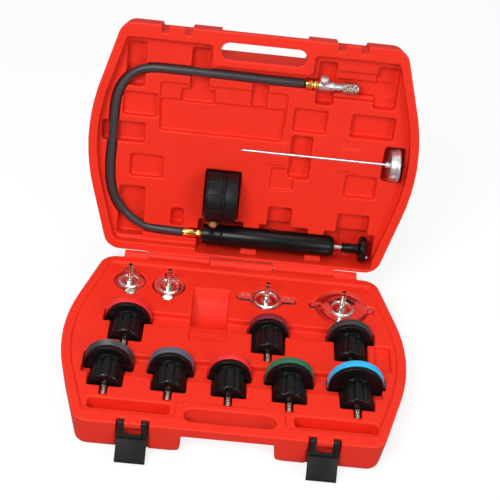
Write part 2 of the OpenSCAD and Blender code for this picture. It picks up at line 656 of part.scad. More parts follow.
// Hose: rings square to the route, joined into one closed solid
module hose() color("#1a1a1c") on_lid() {
    n = len(hose_route);
    m = hose_sides;
    dir = [for (i = [0:n - 1]) let (d = hose_route[min(i + 1, n - 1)] - hose_route[max(i - 1, 0)]) d / norm(d)];
    ring = [for (i = [0:n - 1]) let (
        side = cross([0, 0, 1], dir[i]), a = side / norm(side), b = cross(dir[i], a))
        for (k = [0:m - 1]) hose_route[i] + hose_d / 2 * (cos(360 * k / m) * a + sin(360 * k / m) * b)];
    polyhedron(ring, concat(
        [[for (k = [0:m - 1]) k]],
        [for (i = [0:n - 2]) for (k = [0:m - 1]) let (k1 = (k + 1) % m)
            each [[i * m + k, (i + 1) * m + k, (i + 1) * m + k1], [i * m + k, (i + 1) * m + k1, i * m + k1]]],
        [[for (k = [m - 1:-1:0]) (n - 1) * m + k]]));
}
module hose_ferrules() color("goldenrod") on_lid() {
    translate([pump_u0 - head_l, pump_v, -pump_axis]) rotate([0, -90, 0]) {
        cylinder(d = 9, h = 17);
        translate([0, 0, 2]) cylinder(d = ferrule_d - 0.5, h = 6, $fn = 6);
        translate([0, 0, 9]) cylinder(d = ferrule_d - 1, h = 8);
    }
    translate([58, coupler_v, -coupler_axis]) rotate([0, 90, 0]) {
        cylinder(d = ferrule_d, h = 9);
        translate([0, 0, 9]) cylinder(d = 9, h = ferrule_l - 9);
        translate([0, 0, 11]) cylinder(d = ferrule_d - 0.5, h = 4, $fn = 6);
    }
}

// The coupler lies along +X from the valve block, with its release valve leaning up and away
module lay_coupler() on_lid() translate([coupler_u, coupler_v, -coupler_axis]) rotate([0, 90, 0]) children();
module lay_valve() lay_coupler() rotate(-valve_lean) translate([0, 0, 6]) rotate([0, -90, 0]) children();
module valve_block() color("silver") difference() {
    union() {
        lay_coupler() cylinder(d = 14, h = block_l);
        lay_valve() cylinder(d = 8, h = boss_h);
    }
    lay_coupler() translate([0, 0, -1]) cylinder(d = coupler_bore, h = block_l + 2);
    lay_valve() cylinder(d = valve_d + 2 * fit, h = boss_h + 1);
}
module release_valve() color("gainsboro") lay_valve() translate([0, 0, boss_h + valve_travel + 0.5]) {
    translate([0, 0, -9]) cylinder(d = valve_d, h = 9);
    cylinder(d = 11, h = 3);
}
module coupler_body() color("silver") lay_coupler() difference() {
    translate([0, 0, block_l]) union() {
        cylinder(d = 12, h = 7);
        translate([0, 0, 1]) cylinder(d = 13, h = 5, $fn = 6);
        cylinder(d = coupler_d, h = coupler_l);
    }
    translate([0, 0, -1]) cylinder(d = coupler_bore, h = block_l + coupler_l + 2);
    translate([0, 0, block_l + coupler_l - socket_l]) cylinder(d = nipple_d + 0.6, h = socket_l + 1);
}
module coupler_sleeve() color("gainsboro") lay_coupler()
    translate([0, 0, block_l + coupler_l - sleeve_l - 2]) difference() {
        union() {
            cylinder(d = 15, h = sleeve_l);
            for (z = [1.5, sleeve_l - 6.5]) translate([0, 0, z]) cylinder(d = 16, h = 5);
        }
        translate([0, 0, -1]) cylinder(d = coupler_d + 2 * fit, h = sleeve_l + 2);
    }

// Thermometer: stem along +X into the rear of the head
module lay_thermo() on_lid() translate([thermo_u, thermo_v, -thermo_axis]) rotate([0, 90, 0]) children();
thermo_r = thermo_d / 2;
module thermometer_stem() color("silver") lay_thermo() {
    translate([0, 0, -stem_l]) cylinder(d = stem_d, h = stem_l + 2);
    translate([0, 0, -stem_l - 4]) cylinder(d1 = 1, d2 = stem_d, h = 4);
    translate([0, 0, -5]) cylinder(d = 9, h = 5, $fn = 6);
}
module thermometer_head() color("silver") lay_thermo() difference() {
    union() {
        cylinder(d1 = thermo_d - 5, d2 = thermo_d - 2, h = 4);
        translate([0, 0, 4]) cylinder(d = thermo_d - 2, h = thermo_t - 4);
        translate([0, 0, thermo_t - 5]) cylinder(d = thermo_d, h = 4);
    }
    translate([0, 0, 2]) cylinder(d = thermo_d - 6, h = thermo_t);
    translate([0, 0, -1]) cylinder(d = stem_d, h = 4);
}
module thermometer_dial() color("white") lay_thermo() translate([0, 0, thermo_t - 6]) difference() {
    cylinder(d = thermo_d - 6 - 2 * fit, h = 1);
    translate([0, 0, -1]) cylinder(r = 1.5, h = 4);
}
module thermometer_pointer() color("black") lay_thermo() translate([0, 0, thermo_t - 7]) {
    cylinder(r = 1.5 - fit, h = 3.6);
    translate([0, 0, 2.4]) cylinder(r = 2.5, h = 1);
    translate([0, 0, 2.4]) rotate(200) linear_extrude(0.8)
        polygon([[-1, -6], [1, -6], [0.3, thermo_r - 6], [-0.3, thermo_r - 6]]);
}
module thermometer_lens() color("lightcyan") lay_thermo()
    translate([0, 0, thermo_t - 2.5]) cylinder(d = thermo_d - 6 - 2 * fit, h = 1.5);

case_base();
case_lid();
hinge_pin();
latch(-1);  // latch_left
latch(1);  // latch_right
for (a = adapters) {
    adapter_knob(a);
    adapter_ring(a);
    adapter_nipple(a);
}
for (c = caps) {
    cap_plate(c);
    cap_nipple(c);
}
pump_barrel();
pump_head();
pump_end_cap();
piston_rod();
piston();
pump_handle();
gauge_stem();
gauge_boot();
gauge_case();
gauge_dial();
gauge_pointer();
gauge_lens();
hose();
hose_ferrules();
valve_block();
release_valve();
coupler_body();
coupler_sleeve();
thermometer_stem();
thermometer_head();
thermometer_dial();
thermometer_pointer();
thermometer_lens();
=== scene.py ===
"""Finish of a cooling system pressure test kit in its case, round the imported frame."""
import json
import math

import bpy
from mathutils import Matrix, Vector

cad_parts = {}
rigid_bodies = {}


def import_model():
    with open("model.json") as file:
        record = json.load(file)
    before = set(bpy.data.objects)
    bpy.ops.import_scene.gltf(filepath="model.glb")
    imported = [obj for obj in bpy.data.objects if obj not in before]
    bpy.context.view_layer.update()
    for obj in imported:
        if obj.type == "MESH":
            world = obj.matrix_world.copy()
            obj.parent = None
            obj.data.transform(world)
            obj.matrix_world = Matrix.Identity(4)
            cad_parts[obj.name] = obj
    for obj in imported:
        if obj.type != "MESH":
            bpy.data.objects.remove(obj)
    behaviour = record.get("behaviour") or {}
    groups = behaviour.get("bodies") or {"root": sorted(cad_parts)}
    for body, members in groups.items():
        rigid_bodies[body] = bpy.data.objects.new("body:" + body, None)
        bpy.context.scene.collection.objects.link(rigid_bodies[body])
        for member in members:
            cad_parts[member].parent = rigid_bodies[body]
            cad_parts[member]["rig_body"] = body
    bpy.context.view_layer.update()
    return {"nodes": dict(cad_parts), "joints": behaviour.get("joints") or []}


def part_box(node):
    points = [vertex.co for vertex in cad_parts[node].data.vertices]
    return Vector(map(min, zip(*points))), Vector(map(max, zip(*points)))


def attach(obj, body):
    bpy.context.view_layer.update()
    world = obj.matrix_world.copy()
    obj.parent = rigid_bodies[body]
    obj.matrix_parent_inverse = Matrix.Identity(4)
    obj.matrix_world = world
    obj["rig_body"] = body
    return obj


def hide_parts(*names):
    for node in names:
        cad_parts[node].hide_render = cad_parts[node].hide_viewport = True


bl_info = {
    "name": "Pressure test kit",
    "version": (1, 0, 0),
    "blender": (4, 5, 0),
    "location": "View3D > Sidebar > Test Kit",
    "description": "Builds the finish of a cooling system pressure test kit",
    "category": "Object",
}

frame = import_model()
NODES = frame["nodes"]
JOINTS = {joint["name"]: joint for joint in frame["joints"]}
MM = 0.001

# The lid's own frame: X across, Y away from the hinge, Z out of its tray.
HINGE = Vector(JOINTS["lid_hinge"]["pos_m"])
LID_OPEN = -JOINTS["lid_hinge"]["range_deg"][0]
LID_PLACE = Matrix.Translation(HINGE) @ Matrix.Rotation(math.radians(180 - LID_OPEN), 4, "X")

# Meshes. Angles are in degrees.
MERGE = 0.00001                         # vertices of a CAD mesh this close are one
SMOOTH = 35                             # flatter edges are shaded smooth
SMOOTH_SOFT = 60                        # the same for blown and drawn pieces
SHARP = 34                              # sharper edges are rounded
QUAD_FOLD = 40                          # most fold and most skew of a four-sided face that
QUAD_SKEW = 60                          # is made of two triangles
FACES_UP = 0.99                         # least Z of the normal of an upward face
PAINTED_LIGHT_MARK = "mark"                           # face attribute of the painted shade in bores and the painted highlight on cap plates' rims

# Shares of the edge radius that a user sets.
SOFT_EDGE = 1.6
FINE_EDGE = 0.6
STEM_EDGE = 0.4
NIPPLE_EDGE = 0.3

# Case.
BLOW_PASSES = 4
BLOW_TRIANGLES = 190000
FOOT_X = 56 * MM                        # inner sides of the base's feet
FOOT_Y = -112 * MM                      # rear of their front walls
FOOT_REACH = 11 * MM
FOOT_HEIGHT = 24 * MM
FOOT_PASSES = 60
BEAD_PLACE = (151.5, 14.6, -42.6)       # middle of the bead in the lid's frame, in mm
BEAD_LENGTH = 45                        # in mm
BEAD_LEG = 3                            # in mm
BEAD_SIDES = 12
BEAD_END_INSET = 0.3                    # share of the leg
BEAD_END_RISE = 0.2                     # share of the leg

# Adapters, caps and hose.
RING_PAINTS = {
    "ring_red": (0.22, 0.008, 0.004), "ring_maroon": (0.022, 0.003, 0.002),
    "ring_black": (0.0025, 0.0025, 0.0027), "ring_slate": (0.018, 0.029, 0.038),
    "ring_green": (0.002, 0.026, 0.011), "ring_blue": (0.002, 0.32, 0.56),
}
ADAPTER_RINGS = {
    "a": "ring_red", "b": "ring_maroon", "c": "ring_black", "d": "ring_black",
    "e": "ring_slate", "f": "ring_red", "g": "ring_green", "h": "ring_blue",
}
CAPS = "1234"
# painted shade: dark colour of the inside of the nipples' bores
BORE_SHADE_COLOUR = (0.01, 0.009, 0.008)
BORE_LEAST = 0.3 * MM                   # least reach of a bore's faces towards its axis
PLATE_FLAT = 0.1 * MM                   # how far the faces of a plate's top differ in height
PLATE_SINK = 0.4 * MM                   # depth of the top inside the rolled rim
PLATE_HIGHLIGHT_DEPTH = 0.2 * MM                    # depth down to which the rim gets the painted highlight
CRIMPED_END = 0.5 * MM                  # how deep the left ferrule's end face reaches
RIDGE_DEPTH = 0.3 * MM

# Dials. Sizes are shares of the radius of the print.
DIAL_LIFT = 0.05 * MM
DIAL_PRINT = 0.93                       # radius of the print, as a share of the dial's
TICKS_PER_NUMBER = 5
LONG_TICK = (0.03, 0.14)                # width and length
SHORT_TICK = (0.018, 0.08)
TICK_HEIGHT = 0.12 * MM
NUMBER_SIZE = 0.26
NUMBER_PLACE = 0.68
NUMBER_DEPTH = 0.06 * MM
GAUGE_SCALE = (-45, 270, range(0, 31, 5))           # first mark and sweep in degrees, numbers
THERMOMETER_SCALE = (100, 260, range(0, 121, 20))

# Materials.
NOISE_DETAIL = 3
SHARP_EDGES = (0.505, 0.56)             # pointiness at which rubbing starts and is full

# Stage. Lengths are in metres.
FLOOR_SIZE = 12
FLOOR_GAP = 0.5 * MM
FLOOR_COLOUR = (0.22, 0.22, 0.22, 1)
FLOOR_ROUGHNESS = 0.9
FLOOR_SPECULAR = 0.1
FLOOR_SEEN = 0.80                       # glow of the floor as the camera sees it
SHADE_PLACE = (0, 0.10, 0)              # painted shadow: patch of the floor under the case without glow
SHADE_SIZE = (0.22, 0.22, 1)
SHADE_FADE = 0.3                        # share of the patch over which the glow fades
SENSOR = 36                             # width in mm
TARGET_X = 0.0098
TARGET_RISE = 0.0271                    # height of the camera's target over the hinge
LAMPS = (                               # place, width and share of the main lamp's power
    ("key_light", (-0.7, -1.3, 1.5), 0.9, 1.0),
    ("fill_light", (1.2, -1.3, 0.9), 0.9, 0.40),
    ("top_light", (0.1, 0.3, 2.0), 1.0, 0.20),
)
LAMP_TARGET = (0, 0.05, 0.1)
SKY_HEIGHTS = (0.1, 0.8)                # heights at which the surround is least and most bright
SKY_SHARES = (0.35, 1.5)                # and its shares of the surround's strength there


# ---------------------------------------------------------------- settings

def colour_property(name, default, description):
    """A colour that a user can change."""
    return bpy.props.FloatVectorProperty(
        name=name, description=description, subtype="COLOR", size=3, min=0, max=1, default=default)


def length_property(name, default_mm, description):
    """A length in metres, given here in millimetres."""
    return bpy.props.FloatProperty(
        name=name, description=description, subtype="DISTANCE", unit="LENGTH",
        min=0, default=default_mm * MM, precision=5)


def number_property(name, default, description):
    """A plain number that a user can change."""
    return bpy.props.FloatProperty(name=name, description=description, default=default)


class CaseSettings(bpy.types.PropertyGroup):
    """Sizes and colours of the moulded case."""
    red: colour_property("Red", (0.80, 0.026, 0.010), "Colour of the moulded case")
    voxel: length_property("Voxel", 1.1, "Finest detail of the moulding")
    grain: length_property("Grain", 0.03, "Height of the fine grain of the plastic")
    latch_edge: length_property("Latch edge", 0.6, "Rounding of the latches' edges")


class FittingSettings(bpy.types.PropertyGroup):
    """Sizes and colours of the adapters, caps and tools."""
    black: colour_property("Black", (0.0038, 0.0036, 0.0038), "Colour of the black mouldings")
    brass: colour_property("Brass", (0.86, 0.50, 0.13), "Colour of the brass ferrules")
    edge: length_property("Edge radius", 0.5, "Rounding of the turned and moulded pieces")
    crimp: length_property("Crimp", 10.0, "How much further the crimped ferrule grips the hose")
    rolled_rim: length_property("Rolled rim", 1.3, "Width of the raised rim of the cap plates")


class StageSettings(bpy.types.PropertyGroup):
    """Camera, light and floor."""
    azimuth: number_property("Azimuth", 2.08, "Turn of the camera round the kit")
    elevation: number_property("Elevation", 36.65, "Height of the camera over the horizon")
    roll: number_property("Roll", 6.97, "Lean of the camera about its view")
    distance: bpy.props.FloatProperty(
        name="Distance", description="Distance from the camera to its target",
        subtype="DISTANCE", unit="LENGTH", default=1.615)
    lens: number_property("Lens", 85.4, "Focal length on a 36 mm sensor")
    light: number_property("Light", 27, "Strength of the main lamp in watts")
    floor_glow: number_property("Floor glow", 0.18, "Strength of the light that the floor throws back")
    surround: number_property("Surround", 0.38, "Strength of the light from all round")


# ---------------------------------------------------------------- helpers

def deselect_all():
    """Nothing stays selected or in edit mode."""
    if bpy.context.object and bpy.context.object.mode != "OBJECT":
        bpy.ops.object.mode_set(mode="OBJECT")
    bpy.ops.object.select_all(action="DESELECT")


def activate(piece):
    """Only this piece is selected and active."""
    deselect_all()
    piece.select_set(True)
    bpy.context.view_layer.objects.active = piece


def middle(node):
    """Middle of a node's box."""
    low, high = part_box(node)
    return (Vector(low) + Vector(high)) / 2


def paint(node, material):
    """A CAD node keeps its shape and gets a new material."""
    data = NODES[node].data
    data.materials.clear()
    data.materials.append(bpy.data.materials[material])


def finish_piece(piece, name, material, body, smooth=SMOOTH):
    """Names a piece, gives it its material and body, and smooths its shading."""
    activate(piece)
    bpy.ops.object.shade_smooth_by_angle(angle=math.radians(smooth))
    piece.name = name
    piece.data.name = name
    piece.data.materials.clear()
    piece.data.materials.append(bpy.data.materials[material])
    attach(piece, body)


def finish_node(piece, node, material, smooth=SMOOTH):
    """Gives a piece that stands for a CAD node the node's body and the given material."""
    finish_piece(piece, piece.name, material, NODES[node]["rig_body"], smooth)


def copy_of(node):
    """A copy of a CAD node, merged into a closed mesh, which stands for the node."""
    piece = bpy.data.objects.new(node + "_finished", NODES[node].data.copy())
    bpy.context.scene.collection.objects.link(piece)
    activate(piece)
    bpy.ops.object.mode_set(mode="EDIT")
    bpy.ops.mesh.select_all(action="SELECT")
    bpy.ops.mesh.remove_doubles(threshold=MERGE)
    bpy.ops.object.mode_set(mode="OBJECT")
    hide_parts(node)
    return piece


def joined(pieces):
    """Several pieces as one, with their place in the mesh."""
    deselect_all()
    for piece in pieces:
        piece.select_set(True)
    bpy.context.view_layer.objects.active = pieces[0]
    bpy.ops.object.join()
    bpy.ops.object.transform_apply(location=True, rotation=True, scale=True)
    return bpy.context.object


def select_faces(piece, wanted):
    """In edit mode, selects only the faces for which the test holds."""
    activate(piece)
    bpy.ops.object.mode_set(mode="EDIT")
    bpy.ops.mesh.select_mode(type="FACE")
    bpy.ops.mesh.select_all(action="DESELECT")
    bpy.ops.object.mode_set(mode="OBJECT")
    for face in piece.data.polygons:
        face.select = wanted(face)
    bpy.ops.object.mode_set(mode="EDIT")


def mark_faces(piece, wanted):
    """Marks the faces for which the test holds; marked faces get painted light, a shade in bores and a
    highlight on cap rims.
    """
    mask = piece.data.attributes.new(PAINTED_LIGHT_MARK, "FLOAT", "FACE")
    for face, value in zip(piece.data.polygons, mask.data):
        value.value = float(wanted(face))


def apply_modifier(piece, kind, **settings):
    """Adds a modifier with these settings and applies it."""
    modifier = piece.modifiers.new(kind.title(), kind)
    for name, value in settings.items():
        setattr(modifier, name, value)
    bpy.ops.object.modifier_apply(modifier=modifier.name)


def bevelled(piece, edge, segments=2, clamp=False):
    """Rounds the sharp edges of a piece."""
    if edge:
        apply_modifier(piece, "BEVEL", width=edge, segments=segments, limit_method="ANGLE",
                       angle_limit=math.radians(SHARP), use_clamp_overlap=clamp)


def rounded(node, edge, material, segments=2):
    """A copy of a CAD node with its sharp edges rounded."""
    piece = copy_of(node)
    bevelled(piece, edge, segments)
    finish_node(piece, node, material)
    return piece


def bored(node, edge, along):
    """A steel nipple whose bore, along the given axis, is marked for a painted shade."""
    piece = rounded(node, edge * NIPPLE_EDGE, "steel_painted_bore_shade")
    centre = middle(node)
    across = [axis for axis in range(3) if axis != along]
    mark_faces(piece, lambda face: BORE_LEAST < sum(
        face.normal[axis] * (centre[axis] - face.center[axis]) for axis in across))


def soften_feet(piece):
    """Rounds the lower corners of the base's feet beside the hand space."""
    select_faces(piece, lambda face: face.center.z < FOOT_HEIGHT and face.center.y < FOOT_Y
                 and abs(abs(face.center.x) - FOOT_X) < FOOT_REACH)
    bpy.ops.mesh.vertices_smooth(factor=0.5, repeat=FOOT_PASSES)
    bpy.ops.object.mode_set(mode="OBJECT")


def corner_bead(place, length, leg):
    """A fillet on the lower rear edge of the handle's pocket, where the lid's wall is thin."""
    deselect_all()
    bpy.ops.mesh.primitive_cylinder_add(vertices=BEAD_SIDES, radius=leg * MM, depth=length * MM)
    bead = bpy.context.object
    along = Matrix.Rotation(math.radians(90), 4, "Y")
    bead.matrix_world = LID_PLACE @ Matrix.Translation(Vector(place) * MM) @ along
    select_faces(bead, lambda face: len(face.vertices) > 4)
    bpy.ops.mesh.inset(thickness=leg * BEAD_END_INSET * MM, depth=leg * BEAD_END_RISE * MM)
    bpy.ops.object.mode_set(mode="OBJECT")
    bpy.ops.object.transform_apply(location=True, rotation=True, scale=True)
    return bead


def blown(node, voxel, bead=None):
    """A copy of a half of the case with the soft edges of a blow moulding."""
    piece = copy_of(node)
    if bead:
        joined([piece, bead])
    apply_modifier(piece, "REMESH", mode="VOXEL", voxel_size=voxel, use_smooth_shade=True)
    apply_modifier(piece, "SMOOTH", factor=0.5, iterations=BLOW_PASSES)
    soften_feet(piece)
    apply_modifier(piece, "DECIMATE", ratio=BLOW_TRIANGLES / (2 * len(piece.data.polygons)))
    finish_node(piece, node, "case_plastic", SMOOTH_SOFT)


def rolled_plate(node, rim, edge):
    """A cap plate whose top is sunk a little inside a raised rim, with a painted highlight on the rim
    and sides.
    """
    piece = copy_of(node)
    top = max((face for face in piece.data.polygons if face.normal.z > FACES_UP),
              key=lambda face: face.area).center.z
    select_faces(piece, lambda face: face.normal.z > FACES_UP
                 and abs(face.center.z - top) < PLATE_FLAT)
    bpy.ops.mesh.inset(thickness=rim, depth=-PLATE_SINK)
    bpy.ops.object.mode_set(mode="OBJECT")
    bevelled(piece, edge * FINE_EDGE, segments=3, clamp=True)
    # painted highlight: the sides and the top of the rim are marked to be bright
    mark_faces(piece, lambda face: face.normal.z < FACES_UP or face.center.z > top - PLATE_HIGHLIGHT_DEPTH)
    finish_node(piece, node, "chrome")


def crimped_ferrules(node, edge, crimp):
    """The ferrules, of which the left one grips the hose further."""
    piece = copy_of(node)
    left_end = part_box(node)[0][0] + CRIMPED_END
    select_faces(piece, lambda face: face.center.x < left_end)
    bpy.ops.transform.translate(value=(-crimp, 0, 0))
    bpy.ops.object.mode_set(mode="OBJECT")
    bevelled(piece, edge * FINE_EDGE)
    finish_node(piece, node, "brass_crimped")


def smooth_hose(node):
    """The hose, its flat-sided bends drawn out to a round one."""
    piece = copy_of(node)
    bpy.ops.object.mode_set(mode="EDIT")
    bpy.ops.mesh.select_all(action="SELECT")
    bpy.ops.mesh.tris_convert_to_quads(
        face_threshold=math.radians(QUAD_FOLD), shape_threshold=math.radians(QUAD_SKEW))
    bpy.ops.object.mode_set(mode="OBJECT")
    apply_modifier(piece, "SUBSURF", levels=2, render_levels=2)
    finish_node(piece, node, "hose_rubber", SMOOTH_SOFT)


def dial_of(node):
    """Middle, just over the face, and radius of the print on a dial that faces +X."""
    low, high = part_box(node)
    radius = (high[2] - low[2]) / 2
    return Vector((high[0] + DIAL_LIFT, *middle(node)[1:])), radius * DIAL_PRINT


def dial_marks(name, centre, up, radius, scale, body):
    """Ticks and plain numbers on a dial that faces +X; angles run clockwise from up."""
    zero, sweep, numbers = scale
    facing = Vector((1, 0, 0))
    right = (-facing).cross(up)

    def outward_at(turned):
        """From the middle of the dial to a mark."""
        angle = math.radians(zero + turned)
        return right * math.sin(angle) + up * math.cos(angle)

    pieces = []
    steps = TICKS_PER_NUMBER * (len(numbers) - 1)
    for step in range(steps + 1):
        outward = outward_at(sweep * step / steps)
        shares = SHORT_TICK if step % TICKS_PER_NUMBER else LONG_TICK
        width, length = (radius * share for share in shares)
        turn = Matrix((facing.cross(outward), outward, facing)).transposed()
        deselect_all()
        bpy.ops.mesh.primitive_cube_add(size=1)
        tick = bpy.context.object
        tick.matrix_world = (Matrix.Translation(centre + outward * (radius - length / 2))
                             @ turn.to_4x4() @ Matrix.Diagonal((width, length, TICK_HEIGHT, 1)))
        pieces.append(tick)
    turn = Matrix((right, up, facing)).transposed()
    for index, number in enumerate(numbers):
        outward = outward_at(sweep * index / (len(numbers) - 1))
        deselect_all()
        bpy.ops.object.text_add()
        text = bpy.context.object
        text.data.body = str(number)
        text.data.align_x = "CENTER"
        text.data.align_y = "CENTER"
        text.data.size = radius * NUMBER_SIZE
        text.data.extrude = NUMBER_DEPTH
        text.matrix_world = (Matrix.Translation(centre + outward * radius * NUMBER_PLACE)
                             @ turn.to_4x4())
        bpy.ops.object.convert(target="MESH")
        pieces.append(bpy.context.object)
    finish_piece(joined(pieces), name, "dial_print", body)


# ---------------------------------------------------------------- materials

def new_group(name, inputs, outputs):
    """An empty shader node group with named sockets."""
    group = bpy.data.node_groups.new(name, "ShaderNodeTree")
    for label, kind, value in inputs:
        socket = group.interface.new_socket(label, in_out="INPUT", socket_type=kind)
        if value is not None:
            socket.default_value = value
    for label, kind in outputs:
        group.interface.new_socket(label, in_out="OUTPUT", socket_type=kind)
    entry = group.nodes.new("NodeGroupInput")
    leave = group.nodes.new("NodeGroupOutput")
    return group, entry, leave


def feed(tree, socket, value):
    """Links a socket to another one, or sets it to a value."""
    if isinstance(value, bpy.types.NodeSocket):
        tree.links.new(value, socket)
    else:
        socket.default_value = value


def maths(tree, operation, *values):
    """The result of a sum of sockets or values."""
    node = tree.nodes.new("ShaderNodeMath")
    node.operation = operation
    for socket, value in zip(node.inputs, values):
        feed(tree, socket, value)
    return node.outputs[0]


def spread(tree, value, low, high, to_low=0.0, to_high=1.0):
    """Maps a value from one range to another."""
    node = tree.nodes.new("ShaderNodeMapRange")
    node.inputs["From Min"].default_value = low
    node.inputs["From Max"].default_value = high
    node.inputs["To Min"].default_value = to_low
    node.inputs["To Max"].default_value = to_high
    tree.links.new(value, node.inputs["Value"])
    return node.outputs["Result"]


def mixed(tree, factor, one, two):
    """Mixes two colours, given as sockets or values."""
    node = tree.nodes.new("ShaderNodeMix")
    node.data_type = "RGBA"
    colours = [socket for socket in node.inputs if socket.type == "RGBA"]
    feed(tree, colours[0], one)
    feed(tree, colours[1], two)
    tree.links.new(factor, node.inputs["Factor"])
    return next(socket for socket in node.outputs if socket.type == "RGBA")


def round_x(tree, vector):
    """A place along X and the angle round X."""
    split = tree.nodes.new("ShaderNodeSeparateXYZ")
    tree.links.new(vector, split.inputs[0])
    return split.outputs["X"], maths(tree, "ARCTAN2", split.outputs["Z"], split.outputs["Y"])


def surface_group():
    """Grain, patchy gloss and slight colour drift of a moulded or cast surface."""
    group, entry, leave = new_group(
        "moulded_surface",
        [("Vector", "NodeSocketVector", None), ("Colour", "NodeSocketColor", None),
         ("Grain scale", "NodeSocketFloat", 900.0), ("Patch scale", "NodeSocketFloat", 18.0),
         ("Drift", "NodeSocketFloat", 0.12), ("Roughness", "NodeSocketFloat", 0.4),
         ("Roughness drift", "NodeSocketFloat", 0.1)],
        [("Colour", "NodeSocketColor"), ("Roughness", "NodeSocketFloat"),
         ("Height", "NodeSocketFloat")])
    nodes, links = group.nodes, group.links
    fine = nodes.new("ShaderNodeTexNoise")
    patch = nodes.new("ShaderNodeTexNoise")
    for node, scale in ((fine, "Grain scale"), (patch, "Patch scale")):
        links.new(entry.outputs["Vector"], node.inputs["Vector"])
        links.new(entry.outputs[scale], node.inputs["Scale"])
        node.inputs["Detail"].default_value = NOISE_DETAIL
    centred = maths(group, "SUBTRACT", patch.outputs["Fac"], 0.5)
    tone = maths(group, "MULTIPLY_ADD", centred, entry.outputs["Drift"], 1.0)
    hue = nodes.new("ShaderNodeHueSaturation")
    links.new(tone, hue.inputs["Value"])
    links.new(entry.outputs["Colour"], hue.inputs["Color"])
    rough = maths(group, "MULTIPLY_ADD", centred,
                  entry.outputs["Roughness drift"], entry.outputs["Roughness"])
    links.new(hue.outputs["Color"], leave.inputs["Colour"])
    links.new(rough, leave.inputs["Roughness"])
    links.new(fine.outputs["Fac"], leave.inputs["Height"])
    return group


def wear_group():
    """Lighter, rubbed edges, from how sharp the surface turns."""
    group, entry, leave = new_group(
        "rubbed_edges",
        [("Colour", "NodeSocketColor", None), ("Edge colour", "NodeSocketColor", None),
         ("Pointiness", "NodeSocketFloat", 0.5), ("Amount", "NodeSocketFloat", 0.3)],
        [("Colour", "NodeSocketColor")])
    mask = spread(group, entry.outputs["Pointiness"], *SHARP_EDGES)
    amount = maths(group, "MULTIPLY", mask, entry.outputs["Amount"])
    colour = mixed(group, amount, entry.outputs["Colour"], entry.outputs["Edge colour"])
    group.links.new(colour, leave.inputs["Colour"])
    return group


def knurl_group():
    """Crossed ridges round a cylinder that lies along X, as a height."""
    group, entry, leave = new_group(
        "knurled_ridges",
        [("Vector", "NodeSocketVector", None), ("Turns", "NodeSocketFloat", 24.0),
         ("Pitch", "NodeSocketFloat", 3000.0)],
        [("Height", "NodeSocketFloat")])
    place, angle = round_x(group, entry.outputs["Vector"])
    turned = maths(group, "MULTIPLY", angle, entry.outputs["Turns"])
    along = maths(group, "MULTIPLY", place, entry.outputs["Pitch"])
    one_way = maths(group, "SINE", maths(group, "ADD", turned, along))
    other_way = maths(group, "SINE", maths(group, "SUBTRACT", turned, along))
    group.links.new(maths(group, "MAXIMUM", one_way, other_way), leave.inputs["Height"])
    return group


def lengthwise_group():
    """Fine crimped lines along a cylinder that lies along X, as a height."""
    group, entry, leave = new_group(
        "crimped_lines", [("Vector", "NodeSocketVector", None), ("Lines", "NodeSocketFloat", 16.0)],
        [("Height", "NodeSocketFloat")])
    angle = round_x(group, entry.outputs["Vector"])[1]
    turned = maths(group, "MULTIPLY", angle, entry.outputs["Lines"])
    group.links.new(maths(group, "SINE", turned), leave.inputs["Height"])
    return group


GROUP_MAKERS = {
    "moulded_surface": surface_group, "rubbed_edges": wear_group,
    "knurled_ridges": knurl_group, "crimped_lines": lengthwise_group,
}
GROUPS = {}


def placed_group(tree, name):
    """A node in this material that holds the named group."""
    if name not in GROUPS:
        GROUPS[name] = GROUP_MAKERS[name]()
    node = tree.nodes.new("ShaderNodeGroup")
    node.node_tree = GROUPS[name]
    return node


def new_material(name):
    """A material, its node tree and its shader."""
    material = bpy.data.materials.new(name)
    material.use_nodes = True
    return material, material.node_tree, material.node_tree.nodes["Principled BSDF"]


def moulded(name, colour, roughness, bump, grain_scale=900.0, patch_scale=18.0, drift=0.15,
            rough_drift=0.12, metallic=0.0, specular=0.5, rubbed=None):
    """A material with grain and patchy gloss; rubbed is the colour and amount of its edges."""
    material, tree, shader = new_material(name)
    where = tree.nodes.new("ShaderNodeTexCoord")
    surface = placed_group(tree, "moulded_surface")
    tree.links.new(where.outputs["Object"], surface.inputs["Vector"])
    for label, value in (
            ("Colour", (*colour, 1)), ("Grain scale", grain_scale), ("Patch scale", patch_scale),
            ("Drift", drift), ("Roughness", roughness), ("Roughness drift", rough_drift)):
        surface.inputs[label].default_value = value
    result = surface.outputs["Colour"]
    if rubbed:
        edge_colour, amount = rubbed
        wear = placed_group(tree, "rubbed_edges")
        shape = tree.nodes.new("ShaderNodeNewGeometry")
        tree.links.new(shape.outputs["Pointiness"], wear.inputs["Pointiness"])
        tree.links.new(result, wear.inputs["Colour"])
        wear.inputs["Edge colour"].default_value = (*edge_colour, 1)
        wear.inputs["Amount"].default_value = amount
        result = wear.outputs["Colour"]
    tree.links.new(result, shader.inputs["Base Color"])
    tree.links.new(surface.outputs["Roughness"], shader.inputs["Roughness"])
    grain = tree.nodes.new("ShaderNodeBump")
    grain.inputs["Distance"].default_value = bump
    tree.links.new(surface.outputs["Height"], grain.inputs["Height"])
    tree.links.new(grain.outputs["Normal"], shader.inputs["Normal"])
    shader.inputs["Metallic"].default_value = metallic
    shader.inputs["Specular IOR Level"].default_value = specular
    return material


